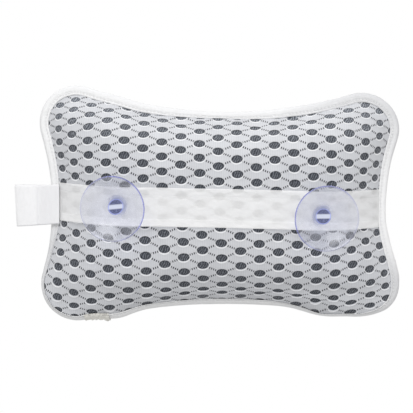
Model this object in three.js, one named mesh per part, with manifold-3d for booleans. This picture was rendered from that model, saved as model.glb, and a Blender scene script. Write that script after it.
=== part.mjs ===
import * as THREE from 'three';
import { mergeVertices } from 'three/addons/utils/BufferGeometryUtils.js';
import Module from 'manifold-3d';

const wasm = await Module();
wasm.setup();

// Outline of the pillow, millimetres
const pillowWidth = 310;
const pillowHeight = 200;
const cornerRadius = 32;
const topWaist = 19.4;
const bottomWaist = 12.7;
const sideWaist = 9.2;
const lobeRise = 2.5;

// Crown of the two faces above and below the seam
const backCrown = 30;
const frontCrown = 29;
const frontFlat = 24;
const crownPower = 5;

// Cloth layers, in the field and pressed flat in the seam
const faceThickness = 1.2;
const faceRim = 0.7;
const groundThickness = 3.8;
const groundRim = 1.6;
const fullShare = 0.3;
const gap = 0.3;

// Edge binding, its lapped end and its stitch rows
const tapeWidth = 7.5;
const tapeThickness = 0.8;
const foldRound = 2.4;
const flangeEnd = 3.2;
const lapLength = 22;
const lapWidth = 4.2;
const threadInset = 5.5;
const threadSize = 0.4;

// Strap across the back
const strapWidth = 33;
const strapThickness = 0.7;
const strapTail = 4;
const strapSlant = THREE.MathUtils.degToRad(1.05);
const strapRise = 0.3;
const tuckMargin = 12;
const caughtShare = 1.03;

// Suction cups
const cupInset = 68;
const cupLeftY = 1.1;
const cupRightY = -6.2;
const cupLean = THREE.MathUtils.degToRad(9);
const cupRadius = 27.5;
const cupDepth = 11.4;
const cupFloor = 2.9;
const lipWidth = 1.1;
const neckRadius = 5.6;
const neckPlay = 0.8;
const headRadius = 7.2;
const headHeight = 6;
const headHole = 4;
const headClearance = 0.5;
const liftSpread = 28;

// Webbing loop on the left seam
const loopWidth = 36;
const loopLength = 38;
const loopThickness = 1;
const loopSag = 2.5;
const loopRise = 6.5;
const loopPinch = 8;
const loopShoulder = 12;
const loopDrop = 2.3;

// Facets
const sideSteps = 6;
const topSteps = 8;
const cornerSteps = 6;
const ringShares = [0.3, 0.54, 0.71, 0.84, 0.93, 1];
const coreEdgeShare = 0.965;
const strapSteps = 40;
const strapRows = 4;
const cupSteps = 24;

// Values that follow from the above
const halfWidth = pillowWidth / 2;
const halfHeight = pillowHeight / 2;
const corner = { x: halfWidth - cornerRadius, y: halfHeight - cornerRadius };
const topLine = waistLine(corner.x, corner.y, halfHeight - topWaist);
const bottomLine = waistLine(corner.x, corner.y, halfHeight - bottomWaist);
const sideLine = waistLine(corner.y, corner.x, halfWidth - sideWaist);
const rimStack = gap / 2 + groundRim + gap + faceRim;
const tapeReach = rimStack + gap + tapeThickness;
const seamHeight = rimStack + frontFlat;
const crownInset = tapeWidth + gap;
const tuckDepth = strapThickness + gap;
const headRoom = headHeight + neckPlay + headClearance;
const cupSpacing = pillowWidth - 2 * cupInset;

// The hollow arc that touches two corner arcs and passes the waist line.
function waistLine(along, across, waist) {
  const step = waist - across;
  const radius = (along ** 2 + step ** 2 - cornerRadius ** 2) / (2 * (cornerRadius - step));
  const centre = waist + radius;
  return { radius, centre, swing: Math.atan2(along, centre - across) };
}

function arcPoint(arc, share, inset) {
  const angle = THREE.MathUtils.lerp(arc.start, arc.end, share);
  const radius = arc.radius + (arc.hollow ? inset : -inset);
  return [arc.x + radius * Math.cos(angle), arc.y + radius * Math.sin(angle)];
}

// The two left lobes are sewn taller than the right ones, by a slow taper.
function lobeScale(x) {
  return 1 - (lobeRise * x) / (corner.x * halfHeight);
}

// The eight arcs of the outline, anticlockwise from the right side.
function outlineArcs() {
  const quarter = Math.PI / 2;
  const half = Math.PI;
  const down = half + quarter;
  const bend = { radius: cornerRadius, hollow: false, steps: cornerSteps };
  const upright = { radius: sideLine.radius, hollow: true, steps: sideSteps, y: 0 };
  const level = { hollow: true, steps: topSteps, x: 0 };
  const upper = { ...level, radius: topLine.radius, y: topLine.centre };
  const lower = { ...level, radius: bottomLine.radius, y: -bottomLine.centre };
  return [
    { ...upright, x: sideLine.centre, start: half + sideLine.swing, end: half - sideLine.swing },
    { ...bend, x: corner.x, y: corner.y, start: -sideLine.swing, end: quarter + topLine.swing },
    { ...upper, start: topLine.swing - quarter, end: -topLine.swing - quarter },
    { ...bend, x: -corner.x, y: corner.y, start: quarter - topLine.swing, end: half + sideLine.swing },
    { ...upright, x: -sideLine.centre, start: sideLine.swing, end: -sideLine.swing },
    { ...bend, x: -corner.x, y: -corner.y, start: half - sideLine.swing, end: down + bottomLine.swing },
    { ...lower, start: quarter + bottomLine.swing, end: quarter - bottomLine.swing },
    { ...bend, x: corner.x, y: -corner.y, start: -quarter - bottomLine.swing, end: sideLine.swing },
  ];
}

const arcs = outlineArcs();

function outline(inset) {
  const points = [];
  for (const arc of arcs) {
    for (let step = 0; step < arc.steps; step += 1) {
      const [x, y] = arcPoint(arc, step / arc.steps, inset);
      points.push([x, y * lobeScale(x)]);
    }
  }
  return points;
}

// Half extent of the crowned field along one axis at a place on the other.
function halfExtent(place, along, across, waist) {
  const reach = Math.abs(place);
  const bend = cornerRadius - crownInset;
  if (reach < along - bend * Math.sin(waist.swing)) {
    return waist.centre - Math.sqrt((waist.radius + crownInset) ** 2 - reach ** 2);
  }
  return across + Math.sqrt(Math.max(0, bend ** 2 - (reach - along) ** 2));
}

function halfHeightAt(x, y) {
  return halfExtent(x, corner.x, corner.y, y < 0 ? bottomLine : topLine);
}

function halfWidthAt(y) {
  return halfExtent(y, corner.y, corner.x, sideLine);
}

// Share of the full crown at a place: 1 in the middle, 0 at the binding.
function crownShare(x, y) {
  const level = y / lobeScale(x);
  const across = Math.min(1, Math.abs(x) / halfWidthAt(level));
  const up = Math.min(1, Math.abs(level) / halfHeightAt(x, level));
  return (1 - across ** crownPower) * (1 - up ** crownPower);
}

function strapCentre(x) {
  return strapRise - x * Math.tan(strapSlant);
}

// The cloth is pressed thinner in the side seams where the strap ends are caught.
function tuck(x, y, share) {
  const nearStrap = Math.abs(y - strapCentre(x)) < strapWidth / 2 + tuckMargin;
  const atSide = Math.abs(x) > corner.x && share < 0.001;
  return nearStrap && atSide ? tuckDepth : 0;
}

function thicken(rim, full, share) {
  return rim + (full - rim) * Math.min(1, share / fullShare);
}

// Distances of the layer surfaces from the seam plane, outermost first.
function layerReach(x, y, back) {
  const share = crownShare(x, y);
  const press = back ? tuck(x, y, share) : 0;
  const crown = back ? backCrown * share : Math.min(frontFlat, frontCrown * share);
  const faceOut = rimStack - press + crown;
  const faceIn = faceOut - thicken(faceRim, faceThickness, share);
  const groundOut = faceIn - gap;
  const groundIn = groundOut - thicken(groundRim - press, groundThickness, share);
  return { faceOut, faceIn, groundOut, groundIn };
}

function toGeometry(positions, faces) {
  const geometry = new THREE.BufferGeometry();
  geometry.setAttribute('position', new THREE.Float32BufferAttribute(positions, 3));
  geometry.setIndex(faces);
  geometry.computeVertexNormals();
  return geometry;
}

// Closed form between an upper and a lower height field over rings of points.
function layeredForm(rings, upper, lower, closedEdge) {
  const count = rings[0].length;
  const positions = [];
  const faces = [];
  const sheet = (height) => {
    const first = positions.length / 3;
    positions.push(0, 0, height(0, 0, 0));
    rings.forEach((ring, index) => ring.forEach(([x, y]) => positions.push(x, y, height(x, y, index))));
    return first;
  };
  const lid = sheet(upper);
  const floor = sheet(lower);
  const at = (first, ring, step) => first + 1 + ring * count + (step % count);
  for (let step = 0; step < count; step += 1) {
    faces.push(lid, at(lid, 0, step), at(lid, 0, step + 1));
    faces.push(floor, at(floor, 0, step + 1), at(floor, 0, step));
    for (let ring = 1; ring < rings.length; ring += 1) {
      const a = at(lid, ring - 1, step);
      const b = at(lid, ring - 1, step + 1);
      const c = at(lid, ring, step);
      const d = at(lid, ring, step + 1);
      faces.push(a, c, d, a, d, b);
      const down = floor - lid;
      faces.push(a + down, d + down, c + down, a + down, b + down, d + down);
    }
    const last = rings.length - 1;
    const a = at(lid, last, step);
    const b = at(lid, last, step + 1);
    const c = at(floor, last, step);
    const d = at(floor, last, step + 1);
    if (!closedEdge) faces.push(a, c, d, a, d, b);
  }
  const geometry = toGeometry(positions, faces);
  return closedEdge ? mergeVertices(geometry.deleteAttribute('normal'), 1e-4) : geometry;
}

function scaled(points, share) {
  return points.map(([x, y]) => [x * share, y * share]);
}

// Closed form swept round the outline: a closed section of inset and height pairs.
function sweptRing(section) {
  const rows = section.map(([inset]) => outline(inset));
  const count = rows[0].length;
  const positions = [];
  const faces = [];
  rows.forEach((row, index) => row.forEach(([x, y]) => positions.push(x, y, section[index][1])));
  for (let index = 0; index < section.length; index += 1) {
    const next = (index + 1) % section.length;
    for (let step = 0; step < count; step += 1) {
      const after = (step + 1) % count;
      const a = index * count + step;
      const b = index * count + after;
      const c = next * count + step;
      const d = next * count + after;
      faces.push(a, c, d, a, d, b);
    }
  }
  return toGeometry(positions, faces);
}

// Half round of the tape about the seam edge, moved outwards by a given amount.
function tapeContour(grow, width) {
  const upper = [
    [width, tapeReach + grow],
    [foldRound, tapeReach + grow],
    [foldRound / 3 - 0.7 * grow, 0.75 * tapeReach + 0.7 * grow],
    [-grow, 0.25 * tapeReach],
  ];
  const lower = upper.map(([inset, height]) => [inset, -height]).reverse();
  return [...upper, ...lower].map(([inset, height]) => [inset, seamHeight + height]);
}

function tapeSection(grow, width) {
  return [...tapeContour(grow, width), ...tapeContour(grow - tapeThickness, width).reverse()];
}

function threadSection(height) {
  const half = threadSize / 2;
  return [
    [threadInset + half, height],
    [threadInset, height + half],
    [threadInset - half, height],
    [threadInset, height - half],
  ];
}

// Short straight stretch of folded tape over the first facet of the bottom edge.
function lapForm() {
  const section = tapeSection(tapeThickness + gap, lapWidth);
  const first = 2 * sideSteps + topSteps + 3 * cornerSteps;
  const count = section.length;
  const positions = [];
  const faces = [];
  const reach = lapLength / (bottomLine.radius * 2 * bottomLine.swing / topSteps);
  for (const share of [0, reach]) {
    for (const [inset, height] of section) {
      const from = new THREE.Vector2(...outline(inset)[first]);
      const to = new THREE.Vector2(...outline(inset)[first + 1]);
      const place = from.lerp(to, share);
      positions.push(place.x, place.y, height);
    }
  }
  for (let index = 0; index < count; index += 1) {
    const next = (index + 1) % count;
    faces.push(index, next, next + count, index, next + count, index + count);
  }
  const cap = THREE.ShapeUtils.triangulateShape(section.map((p) => new THREE.Vector2(...p)), []);
  for (const [a, b, c] of cap) {
    faces.push(a, c, b);
    faces.push(count + a, count + b, count + c);
  }
  return toGeometry(positions, faces);
}

function strapBase(x, y) {
  const share = crownShare(x, y);
  const lift = (place) => headRoom * Math.exp(-(((x - place) / liftSpread) ** 2));
  const inField = share > 0.001 ? lift(cupSpacing / 2) + lift(-cupSpacing / 2) : 0;
  return seamHeight + layerReach(x, y, true).faceOut + gap + inField;
}

// Place on the strap: the share runs from seam to seam, beyond 1 in the caught ends.
function strapPlace(share, across) {
  const y = strapCentre(share * halfWidthAt(0)) + strapWidth * across;
  const inside = Math.max(-1, Math.min(1, share));
  const level = y / lobeScale(Math.sign(share) * halfWidthAt(y));
  const x = inside * halfWidthAt(level) + Math.sign(share) * strapTail * (Math.abs(share) > 1 ? 1 : 0);
  return [x, y, strapBase(x, y)];
}

function strapShares() {
  const last = ringShares[ringShares.length - 2];
  const shares = [-caughtShare, -1];
  for (let step = 0; step <= strapSteps; step += 1) {
    shares.push(last * ((2 * step) / strapSteps - 1));
  }
  return [...shares, 1, caughtShare];
}

// Flat band laid over the crown, with the ends in the side seams.
function strapForm() {
  const positions = [];
  const faces = [];
  const row = strapRows + 1;
  const shares = strapShares();
  for (const rise of [0, strapThickness]) {
    for (const share of shares) {
      for (let across = 0; across < row; across += 1) {
        const [x, y, z] = strapPlace(share, across / strapRows - 0.5);
        positions.push(x, y, z + rise);
      }
    }
  }
  const last = shares.length - 1;
  const lid = row * shares.length;
  const wall = (a, b) => faces.push(a, b, b + lid, a, b + lid, a + lid);
  for (let step = 0; step < last; step += 1) {
    for (let across = 0; across < strapRows; across += 1) {
      const a = step * row + across;
      const b = a + row;
      faces.push(lid + a, lid + b, lid + b + 1, lid + a, lid + b + 1, lid + a + 1);
      faces.push(a, b + 1, b, a, a + 1, b + 1);
    }
    wall(step * row, (step + 1) * row);
    wall((step + 1) * row + strapRows, step * row + strapRows);
  }
  for (let across = 0; across < strapRows; across += 1) {
    wall(across + 1, across);
    wall(last * row + across, last * row + across + 1);
  }
  return toGeometry(positions, faces);
}

function toSolid(geometry) {
  const bare = geometry.clone();
  bare.deleteAttribute('normal');
  bare.deleteAttribute('uv');
  const merged = mergeVertices(bare, 1e-4);
  const vertProperties = new Float32Array(merged.attributes.position.array);
  const triVerts = new Uint32Array(merged.index.array);
  return new wasm.Manifold(new wasm.Mesh({ numProp: 3, vertProperties, triVerts }));
}

function fromSolid(solid) {
  const mesh = solid.getMesh();
  return toGeometry(Array.from(mesh.vertProperties), Array.from(mesh.triVerts));
}

function cupPlace(side) {
  const x = (side * cupSpacing) / 2;
  const y = side < 0 ? cupLeftY : cupRightY;
  return new THREE.Vector3(x, y, strapBase(x, y) + strapThickness / 2);
}

function strap() {
  let solid = toSolid(strapForm());
  for (const side of [-1, 1]) {
    const hole = new THREE.CylinderGeometry(neckRadius + gap, neckRadius + gap, 6, cupSteps);
    hole.rotateX(Math.PI / 2);
    hole.rotateY(side * cupLean);
    hole.translate(...cupPlace(side).toArray());
    solid = solid.subtract(toSolid(hole));
  }
  return fromSolid(solid);
}

// Disc, neck and pierced head in one moulding, with the strap at height zero.
function cup() {
  const headTop = -strapThickness / 2 - neckPlay;
  const headBase = headTop - headHeight;
  const base = strapThickness / 2 + neckPlay;
  const lip = base + cupDepth;
  const profile = [
    [0, headBase],
    [headRadius - 1.3, headBase],
    [headRadius, headBase + 1.3],
    [headRadius, headTop - 1],
    [headRadius - 1, headTop],
    [neckRadius, headTop],
    [neckRadius, base],
    [0.31 * cupRadius, base + 0.044 * cupDepth],
    [0.59 * cupRadius, base + 0.298 * cupDepth],
    [0.83 * cupRadius, base + 0.667 * cupDepth],
    [cupRadius, lip - 0.6],
    [cupRadius, lip],
    [cupRadius - lipWidth, lip],
    [0.8 * cupRadius, base + 0.825 * cupDepth],
    [0.55 * cupRadius, base + 0.509 * cupDepth],
    [0.31 * cupRadius, base + cupFloor + 0.7],
    [0, base + cupFloor],
  ];
  const body = new THREE.LatheGeometry(profile.map((p) => new THREE.Vector2(...p)), cupSteps);
  body.rotateX(Math.PI / 2);
  const drill = new THREE.CylinderGeometry(headHole / 2, headHole / 2, 4 * headRadius, 12);
  drill.rotateZ(Math.PI / 2);
  drill.translate(0, 0, headBase + headHeight / 2);
  return fromSolid(toSolid(body).subtract(toSolid(drill)));
}

// Webbing bent back on itself, flat on the binding and open beyond the edge.
function loop() {
  const t = loopThickness;
  const end = loopLength;
  const wide = end - loopShoulder;
  const shape = new THREE.Shape();
  shape.moveTo(0, 0);
  shape.lineTo(loopPinch + 1, 0);
  shape.bezierCurveTo(loopPinch + 6, 0, wide - 6, -loopSag, wide, -loopSag);
  shape.bezierCurveTo(end - 5, -loopSag, end, -loopSag / 2, end, t);
  shape.bezierCurveTo(end, loopRise - 2, end - 5, loopRise, wide, loopRise);
  shape.bezierCurveTo(wide - 7, loopRise, loopPinch + 5, 2 * t + 0.4, loopPinch, 2 * t + 0.2);
  shape.lineTo(0, 1.4 * t);
  shape.lineTo(0, 0);
  const eye = new THREE.Path();
  eye.moveTo(loopPinch + 2, t + 0.1);
  eye.bezierCurveTo(loopPinch + 7, t + 0.4, wide - 6, loopRise - t, wide, loopRise - t);
  eye.bezierCurveTo(end - 6, loopRise - t, end - t, loopRise - 2.6, end - t, t);
  eye.bezierCurveTo(end - t, -loopSag / 3, end - 6, t - loopSag, wide, t - loopSag);
  eye.bezierCurveTo(wide - 6, t - loopSag, loopPinch + 7, t - 0.1, loopPinch + 2, t + 0.1);
  shape.holes.push(eye);
  const form = new THREE.ExtrudeGeometry(shape, { depth: loopWidth, bevelEnabled: false, curveSegments: 6 });
  form.rotateX(Math.PI / 2);
  form.rotateZ(Math.PI);
  return form;
}

const group = new THREE.Group();
group.name = 'bath_pillow';

function addPart(name, geometry, colour, roughness, extra = {}) {
  const material = new THREE.MeshStandardMaterial({ color: colour, roughness, metalness: 0, ...extra });
  const mesh = new THREE.Mesh(geometry, material);
  mesh.name = name;
  group.add(mesh);
  return mesh;
}

const fieldRings = ringShares.map((share) => scaled(outline(crownInset), share));
const panelRings = [...fieldRings, outline(flangeEnd)];
const coreRings = [...fieldRings.slice(0, -1), scaled(outline(crownInset), coreEdgeShare)];
const backHeight = (layer) => (x, y) => seamHeight + layerReach(x, y, true)[layer];
const panel = (upper, lower) => layeredForm(panelRings, upper, lower);
const frontHeight = (layer) => (x, y) => seamHeight - layerReach(x, y, false)[layer];

// The filling follows the panels and closes on the seam plane at its edge ring.
function coreHeight(panelHeight, side) {
  const edge = coreRings.length - 1;
  return (x, y, ring) => (ring === edge ? seamHeight : panelHeight(x, y) - side * gap);
}

addPart('filling_core', layeredForm(
  coreRings,
  coreHeight(backHeight('groundIn'), 1),
  coreHeight(frontHeight('groundIn'), -1),
  true,
), 0xf4f4f0, 0.95);
addPart('back_ground', panel(backHeight('groundOut'), backHeight('groundIn')), 0x44484f, 0.9);
addPart('back_face_net', panel(backHeight('faceOut'), backHeight('faceIn')), 0xdcdde0, 0.85);
addPart('front_ground', panel(frontHeight('groundIn'), frontHeight('groundOut')), 0x44484f, 0.9);
addPart('front_face_net', panel(frontHeight('faceIn'), frontHeight('faceOut')), 0xdcdde0, 0.85);
addPart('edge_binding', sweptRing(tapeSection(0, tapeWidth)), 0xf2f2f1, 0.8);
addPart('binding_lap', lapForm(), 0xf0eee6, 0.8);
const threadReach = tapeReach + gap + threadSize / 2;
addPart('needle_thread', sweptRing(threadSection(seamHeight + threadReach)), 0xfafafa, 0.6);
addPart('bobbin_thread', sweptRing(threadSection(seamHeight - threadReach)), 0xfafafa, 0.6);
addPart('back_strap', strap(), 0xf6f6f6, 0.7);

const clear = { transparent: true, opacity: 0.35 };
for (const [name, side] of [['suction_cup_left', -1], ['suction_cup_right', 1]]) {
  const mesh = addPart(name, cup(), 0xd4d8ea, 0.12, clear);
  mesh.position.copy(cupPlace(side));
  mesh.rotation.y = side * cupLean;
}

const webbing = addPart('hanging_loop', loop(), 0xf5f5f5, 0.75);
const loopRoot = halfWidth - sideWaist - tapeWidth;
const loopHeight = seamHeight + threadReach + threadSize / 2 + gap;
webbing.position.set(-loopRoot, strapCentre(-loopRoot) - loopDrop - loopWidth / 2, loopHeight);

export default group;
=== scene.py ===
import math

import bmesh
import bpy
import numpy as np
from mathutils import Matrix, Vector, kdtree, noise


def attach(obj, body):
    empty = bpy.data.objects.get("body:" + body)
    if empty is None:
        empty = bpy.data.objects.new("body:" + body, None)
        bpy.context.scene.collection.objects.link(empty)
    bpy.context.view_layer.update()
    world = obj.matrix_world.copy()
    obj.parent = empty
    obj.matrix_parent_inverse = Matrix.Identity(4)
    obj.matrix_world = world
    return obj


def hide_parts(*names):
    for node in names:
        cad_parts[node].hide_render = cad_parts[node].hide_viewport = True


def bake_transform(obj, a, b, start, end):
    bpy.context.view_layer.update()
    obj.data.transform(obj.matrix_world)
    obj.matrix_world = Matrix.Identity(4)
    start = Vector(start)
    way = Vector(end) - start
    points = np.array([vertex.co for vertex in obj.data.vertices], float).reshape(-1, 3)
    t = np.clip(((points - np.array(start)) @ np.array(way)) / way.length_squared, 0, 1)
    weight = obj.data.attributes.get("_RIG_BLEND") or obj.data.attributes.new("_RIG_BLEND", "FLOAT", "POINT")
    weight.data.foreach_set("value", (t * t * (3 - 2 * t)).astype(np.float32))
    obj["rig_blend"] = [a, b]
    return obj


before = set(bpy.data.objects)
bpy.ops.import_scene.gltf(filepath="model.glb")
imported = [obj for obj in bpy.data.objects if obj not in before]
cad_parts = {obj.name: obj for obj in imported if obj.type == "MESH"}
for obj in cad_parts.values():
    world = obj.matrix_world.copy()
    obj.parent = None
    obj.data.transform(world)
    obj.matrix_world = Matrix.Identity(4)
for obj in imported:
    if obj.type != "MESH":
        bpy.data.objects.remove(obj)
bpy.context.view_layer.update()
scene = bpy.context.scene
mm = 0.001
noise.seed_set(5)  # the noise vectors come out the same every time
fullTurn, halfTurn, quarterTurn = 2 * math.pi, math.pi, math.pi / 2


def ramp(value, start, run):
    # 0 up to start, then a straight rise to 1 over the run
    return np.clip((value - start) / run, 0, 1)


def hump(value, middle, wide):
    return np.exp(-((value - middle) / wide) ** 2)


def waves(*place):
    # smooth noise at places given as x, y and z
    return np.array([noise.noise(here) for here in np.stack(np.broadcast_arrays(*place), -1)])


# Outline of the pillow and crown of its two faces, millimetres as in the solids
pillow = {
    "halfWidth": 155, "halfHeight": 100, "cornerRadius": 32, "fieldInset": 7.8,
    "topWaist": 19.4, "bottomWaist": 12.7, "sideWaist": 9.2, "lobeRise": 2.5,
    "seamHeight": 26.75, "rimStack": 2.75,
    "backCrown": 30, "frontCrown": 29, "frontFlat": 24, "flatEase": 3.0, "crownPower": 5,
}

# Uneven stuffing pushes the sewn edge about: millimetres moved, then where a swell starts and its run to full
swell = {
    "right": (113, 28), "lobe": 3.2, "lobeBelow": (15, 35), "corner": 2.4, "cornerBelow": (70, 22),
    "waist": 1.1, "waistHalf": 50, "waistPower": 5, "beside": ((-88, 16), (91, 22)),
    "low": 4.6, "lowBelow": (78, 13), "high": 1.4, "highAbove": (40, 50),
}


def waistLine(along, across, waist):
    # radius, centre and half swing of the hollow arc between two corners
    bend = pillow["cornerRadius"]
    step = waist - across
    radius = (along ** 2 + step ** 2 - bend ** 2) / (2 * (bend - step))
    return radius, waist + radius, math.atan2(along, waist + radius - across)


cornerX = pillow["halfWidth"] - pillow["cornerRadius"]
cornerY = pillow["halfHeight"] - pillow["cornerRadius"]
topLine = waistLine(cornerX, cornerY, pillow["halfHeight"] - pillow["topWaist"])
bottomLine = waistLine(cornerX, cornerY, pillow["halfHeight"] - pillow["bottomWaist"])
sideLine = waistLine(cornerY, cornerX, pillow["halfWidth"] - pillow["sideWaist"])


def lobeScale(x):
    # the two left lobes are sewn taller than the right ones
    return 1 - pillow["lobeRise"] * x / (cornerX * pillow["halfHeight"])


def taper(places):
    # places worked out on the even outline, moved to the sewn and stuffed one
    moved = np.array(places, float)
    x, y = moved[:, 0].copy(), moved[:, 1].copy()
    right = ramp(x, *swell["right"])
    moved[:, 0] += swell["lobe"] * right * ramp(-y, *swell["lobeBelow"])  # fuller lower right lobe
    moved[:, 0] += swell["corner"] * right * ramp(-y, *swell["cornerBelow"])
    level = np.clip(1 - (y / swell["waistHalf"]) ** 2, 0, 1)
    moved[:, 0] -= swell["waist"] * (x / pillow["halfWidth"]) ** swell["waistPower"] * level  # side waists drawn in
    beside = sum(hump(x, *place) for place in swell["beside"])  # lobes swell beside the long waists
    upward = swell["high"] * ramp(y, *swell["highAbove"]) * (x < 0) - swell["low"] * ramp(-y, *swell["lowBelow"])
    moved[:, 1] = y * lobeScale(x) + beside * upward
    return moved


def outlineArcs():
    # eight arcs as centre x, centre y, radius, start and end angle, anticlockwise round the edge
    bend = pillow["cornerRadius"]
    top, bottom, side = topLine[2], bottomLine[2], sideLine[2]
    return [
        (sideLine[1], 0, sideLine[0], halfTurn + side, halfTurn - side),
        (cornerX, cornerY, bend, -side, quarterTurn + top),
        (0, topLine[1], topLine[0], top - quarterTurn, -top - quarterTurn),
        (-cornerX, cornerY, bend, quarterTurn - top, halfTurn + side),
        (-sideLine[1], 0, sideLine[0], side, -side),
        (-cornerX, -cornerY, bend, halfTurn - side, halfTurn + quarterTurn + bottom),
        (0, -bottomLine[1], bottomLine[0], quarterTurn + bottom, quarterTurn - bottom),
        (cornerX, -cornerY, bend, -quarterTurn - bottom, side),
    ]


edgeArcs = outlineArcs()


def runAlong(line):
    # length run so far at each point of a line
    return np.concatenate([[0], np.cumsum(np.linalg.norm(np.diff(line, axis=0), axis=1))])


def edgePath(inset, spacing):
    # points evenly spaced round the edge, with the inward direction at each
    rows = []
    perMm = 4  # points along each arc before they are spaced evenly
    for x, y, radius, start, end in edgeArcs:
        turn = 1 if end > start else -1  # the waists turn the other way
        reach = radius - turn * inset
        count = int(abs(end - start) * reach * perMm) + 2
        angle = np.linspace(start, end, count, endpoint=False)
        away = np.stack([np.cos(angle), np.sin(angle)], -1)
        rows.append(np.concatenate([np.array([x, y]) + reach * away, -turn * away], -1))
    rows = np.concatenate(rows)
    rows = np.concatenate([rows, rows[:1]])
    run = runAlong(rows[:, :2])
    count = int(round(run[-1] / spacing))
    at = np.arange(count) * run[-1] / count
    even = np.stack([np.interp(at, run, rows[:, k]) for k in range(4)], -1)
    return even[:, :2], even[:, 2:], run[-1] / count


def insideEdge(points, inset, spacing=2.0):
    ring = edgePath(inset, spacing)[0]
    inside = np.zeros(len(points), bool)
    for (ax, ay), (bx, by) in zip(ring, np.roll(ring, -1, axis=0)):
        crosses = (ay > points[:, 1]) != (by > points[:, 1])
        if crosses.any():
            inside ^= crosses & (points[:, 0] < (bx - ax) * (points[:, 1] - ay) / (by - ay) + ax)
    return inside


def halfExtent(place, along, across, line):
    radius, centre, swing = line
    reach = np.abs(place)
    bend = pillow["cornerRadius"] - pillow["fieldInset"]
    waist = centre - np.sqrt(np.maximum(0, (radius + pillow["fieldInset"]) ** 2 - reach ** 2))
    lobe = across + np.sqrt(np.maximum(0, bend ** 2 - (reach - along) ** 2))
    return np.where(reach < along - bend * math.sin(swing), waist, lobe)


def crownFall(x, y):
    # share of the crown left across and up the panel, below zero outside it
    wide = halfExtent(y, cornerY, cornerX, sideLine)
    upper, lower = halfExtent(x, cornerX, cornerY, topLine), halfExtent(x, cornerX, cornerY, bottomLine)
    up = np.abs(y) / np.where(y < 0, lower, upper)
    return 1 - (np.abs(x) / wide) ** pillow["crownPower"], 1 - up ** pillow["crownPower"]


def crownShare(x, y):
    across, up = crownFall(x, y)
    return np.maximum(0, across) * np.maximum(0, up)


def crownHeight(x, y, back):
    share = crownShare(x, y)
    if back:
        return pillow["backCrown"] * share
    full, flat, soft = pillow["frontCrown"] * share, pillow["frontFlat"], pillow["flatEase"]
    return np.maximum(0, -soft * np.log(np.exp(-full / soft) + np.exp(-flat / soft)))


# Flat cloth under each panel: it slides over the stuffing to an even pull, then the cloth solver blows it up
cloth = {
    "cell": 3, "columns": 104, "rows": 68, "margin": 0.1, "heldShare": 0.001, "liftStep": 0.6,
    "slideRounds": 700, "slideShare": 0.95, "slopeStep": 0.4,
    "startShare": 0.97, "pressure": 4, "frames": 20, "quality": 6, "fall": 0.9, "swell": 0.3, "runOn": 8,
}


def sampleGrid(grid, flat, cell):
    # smooth cubic reading of a grid of places at flat cloth places
    rows, columns = grid.shape[:2]
    short = 1.001  # the last cell's start, so that a place on the far edge has a cell
    atX = np.clip(flat[:, 0] / cell + (columns - 1) / 2, 0, columns - short)
    atY = np.clip(flat[:, 1] / cell + (rows - 1) / 2, 0, rows - short)
    ix, iy = atX.astype(int), atY.astype(int)
    weights = []
    for t in (atX - ix, atY - iy):
        weights.append((
            -0.5 * t + t ** 2 - 0.5 * t ** 3, 1 - 2.5 * t ** 2 + 1.5 * t ** 3,
            0.5 * t + 2 * t ** 2 - 1.5 * t ** 3, -0.5 * t ** 2 + 0.5 * t ** 3,
        ))
    found = np.zeros((len(flat), 3))
    for j in range(4):
        for i in range(4):
            corner = grid[np.clip(iy + j - 1, 0, rows - 1), np.clip(ix + i - 1, 0, columns - 1)]
            found += (weights[0][i] * weights[1][j])[:, None] * corner
    return found


def flatGrid(columns, rows, cell):
    x = (np.arange(columns + 1) - columns / 2) * cell
    y = (np.arange(rows + 1) - rows / 2) * cell
    return np.stack(np.meshgrid(x, y), -1)


def slideCloth(back):
    columns, rows, cell = cloth["columns"] // 2, cloth["rows"] // 2, 2 * cloth["cell"]
    step = cloth["slopeStep"]
    flat = flatGrid(columns, rows, cell)
    x, y = flat[..., 0], flat[..., 1]
    free = (crownShare(x, y) > cloth["heldShare"])[..., None]
    place = np.stack([x, y, crownHeight(x, y, back)], -1)
    for _ in range(cloth["slideRounds"]):
        mean = place.copy()
        mean[1:-1, 1:-1] = (place[:-2, 1:-1] + place[2:, 1:-1] + place[1:-1, :-2] + place[1:-1, 2:]) / 4
        px, py = place[..., 0], place[..., 1]
        slopeX = (crownHeight(px + step, py, back) - crownHeight(px - step, py, back)) / (2 * step)
        slopeY = (crownHeight(px, py + step, back) - crownHeight(px, py - step, back)) / (2 * step)
        normal = np.stack([-slopeX, -slopeY, np.ones_like(px)], -1)
        normal /= np.linalg.norm(normal, axis=-1, keepdims=True)
        pull = mean - place
        pull -= (pull * normal).sum(-1, keepdims=True) * normal
        place += cloth["slideShare"] * pull * free
        place[..., 2] = crownHeight(place[..., 0], place[..., 1], back)
    fine = flatGrid(cloth["columns"], cloth["rows"], cloth["cell"])
    slid = sampleGrid(place, fine.reshape(-1, 2), cell).reshape(fine.shape[0], fine.shape[1], 3)
    slid[..., 2] = crownHeight(slid[..., 0], slid[..., 1], back)
    return slid


def newGrid(columns, rows, size=1):
    bm = bmesh.new()
    bmesh.ops.create_grid(bm, x_segments=columns, y_segments=rows, size=size)
    return bm


def meshFrom(bm, name):
    mesh = bpy.data.meshes.new(name)
    bm.to_mesh(mesh)
    bm.free()
    return mesh


def addObject(name, data):
    made = bpy.data.objects.new(name, data)
    scene.collection.objects.link(made)
    return made


def blowUp(piece, pressure, frames, **settings):
    # weightless cloth under pressure, left standing at its last frame
    solver = piece.modifiers.new("cloth", "CLOTH")
    for key, value in settings.items():
        setattr(solver.settings, key, value)
    solver.settings.use_pressure = True
    solver.settings.uniform_pressure_force = pressure
    solver.settings.effector_weights.gravity = 0
    solver.point_cache.frame_end = frames
    for step in range(1, frames + 1):
        scene.frame_set(step)


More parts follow.
